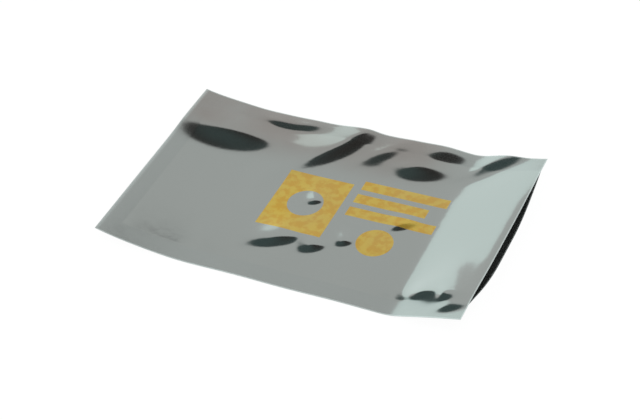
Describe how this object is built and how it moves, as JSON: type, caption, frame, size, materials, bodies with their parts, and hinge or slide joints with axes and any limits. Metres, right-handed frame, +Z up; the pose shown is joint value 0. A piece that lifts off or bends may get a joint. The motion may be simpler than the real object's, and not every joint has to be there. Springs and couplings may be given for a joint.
{
  "type": "static shielding bag",
  "caption": "Flat open-top pouch of metallised film, sealed on both long sides and one end, that keeps static charge away from a circuit board.",
  "frame": {"origin": "on the table, under the middle of the bag's outline", "axes": "+X along the bag from the closed end to the mouth, +Y across it towards the far seal, +Z up off the table"},
  "size_m": [0.1258, 0.0762, 0.0068],
  "materials": {
    "metallised_film": "smoky silver-grey metallised plastic film, glossy"
  },
  "bodies": {
    "root": {"shielding_bag": "metallised_film"}
  },
  "joints": []
}
